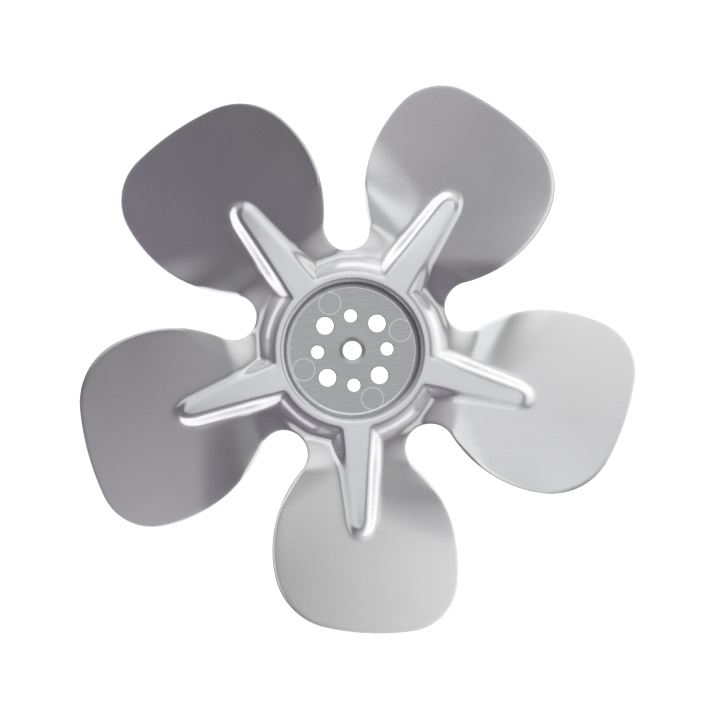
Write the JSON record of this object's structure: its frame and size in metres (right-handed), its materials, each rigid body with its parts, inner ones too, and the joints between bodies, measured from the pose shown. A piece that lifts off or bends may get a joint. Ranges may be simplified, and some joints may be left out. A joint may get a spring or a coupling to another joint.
{
  "type": "fan blade",
  "caption": "Axial fan pressed in one piece from thin aluminium sheet: a dished hub that bolts to a small motor, a raised ring, and broad pitched blades stiffened by radial ribs.",
  "frame": {"origin": "centre of the shaft bore at the back face of the hub disc", "axes": "+Z along the shaft bore, out of the open side of the hub recess; -Y along the middle line of one blade"},
  "size_m": [0.1937, 0.1911, 0.0368],
  "materials": {
    "bare_aluminium": "bright rolled aluminium sheet as pressed, unpainted, with fine rolling lines"
  },
  "bodies": {
    "root": {"fan_blade": "bare_aluminium"}
  },
  "joints": []
}
